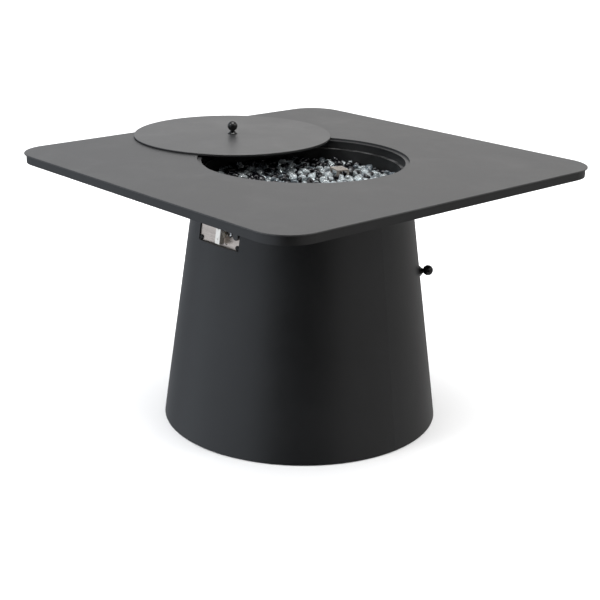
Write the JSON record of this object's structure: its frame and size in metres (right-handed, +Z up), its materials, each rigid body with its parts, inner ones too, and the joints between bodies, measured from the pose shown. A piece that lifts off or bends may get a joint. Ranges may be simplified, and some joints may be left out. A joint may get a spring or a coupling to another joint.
{
  "type": "gas fire pit table",
  "caption": "Square steel fire table on a cone pedestal: a round bowl of fire glass over a gas burner, a lift-off lid, a bottle door and a recessed control panel.",
  "frame": {"origin": "the middle of the pedestal's footprint on the floor, on the face of the centre foot pad", "axes": "+Z up; -Y towards the control panel; +Y towards the bottle door; -X the side on which the lid is stored"},
  "size_m": [1.0629, 1, 0.6828],
  "materials": {
    "top_coat": "matt powder coat, fine texture",
    "body_coat": "satin powder coat",
    "bowl_coat": "heat-resistant black coat",
    "gloss_black": "gloss black enamel",
    "brushed_steel": "brushed stainless steel",
    "zinc_steel": "bright zinc plated",
    "tempered_steel": "heat-tinted stainless steel",
    "brass": "machined brass",
    "aluminium": "drawn tube and die-cast",
    "chrome": "polished chrome",
    "black_plastic": "moulded black plastic",
    "ceramic": "glazed ceramic insulator",
    "rubber": "moulded rubber",
    "fire_glass": "loose tempered glass, clear, grey and black"
  },
  "bodies": {
    "table": {"table_top": "top_coat", "rim_band": "body_coat", "crossbar_back": "body_coat", "crossbar_left": "body_coat", "crossbar_front": "body_coat", "crossbar_right": "body_coat", "lid_seat": "top_coat", "bowl_collar": "bowl_coat", "neck_ring": "body_coat", "neck_bolts": "zinc_steel", "pedestal_shell": "body_coat", "base_ring": "body_coat", "bottle_tray": "body_coat", "bottle_hoop": "body_coat", "base_screws": "zinc_steel", "foot_pads": "rubber", "door_frame": "body_coat", "fixed_hinge_leaves": "body_coat", "hinge_pins": "zinc_steel", "magnet_catch": "black_plastic", "panel_surround": "body_coat", "control_plate": "brushed_steel", "panel_screws": "gloss_black", "gas_valve": "brass", "valve_nut": "zinc_steel", "igniter_bezel": "chrome", "igniter_module": "black_plastic", "battery_holder": "black_plastic", "battery_cap": "black_plastic", "burner_pan": "bowl_coat", "heat_shield": "zinc_steel", "shield_spacers": "zinc_steel", "shield_screws": "zinc_steel", "burner_ring": "tempered_steel", "burner_feed": "brass", "air_mixer": "aluminium", "gas_elbow": "brass", "gas_pipe": "aluminium", "pilot_bracket": "tempered_steel", "pilot_burner": "brass", "thermocouple": "tempered_steel", "spark_electrode": "ceramic", "pilot_hood": "tempered_steel", "media_grate": "bowl_coat", "fire_glass": "fire_glass"},
    "lid": {"lid_plate": "top_coat", "lid_knob": "gloss_black", "lid_knob_screw": "zinc_steel"},
    "bottle_door": {"door_panel": "body_coat", "door_ribs": "body_coat", "door_hinge_leaves": "body_coat", "door_knob": "gloss_black", "door_knob_screw": "zinc_steel", "door_strike": "zinc_steel"},
    "igniter": {"igniter_button": "black_plastic"},
    "valve_push": {"valve_plunger": "brass"},
    "knob": {"control_knob": "brushed_steel", "valve_stem": "brass"}
  },
  "joints": [
    {"name": "lid_lift", "type": "slide", "parent": "table", "child": "lid", "axis": [0, 0, 1], "range_m": [0, 0.25]},
    {"name": "door_hinge", "type": "hinge", "parent": "table", "child": "bottle_door", "pos_m": [-0.23863, 0.19532, 0.27075], "axis": [0.1058, -0.0866, 0.9906], "range_deg": [0, 100]},
    {"name": "igniter_push", "type": "slide", "parent": "table", "child": "igniter", "axis": [-0.0259, 0.9903, -0.1368], "range_m": [0, 0.003], "stiffness_N_per_m": 600, "springref_m": -0.001},
    {"name": "knob_push", "type": "slide", "parent": "table", "child": "valve_push", "axis": [-0.0259, 0.9903, -0.1368], "range_m": [0, 0.0025], "stiffness_N_per_m": 1500, "springref_m": -0.001},
    {"name": "knob_turn", "type": "hinge", "parent": "valve_push", "child": "knob", "pos_m": [0.02106, -0.26937, 0.50966], "axis": [0.0259, -0.9903, 0.1368], "range_deg": [0, 180]}
  ]
}
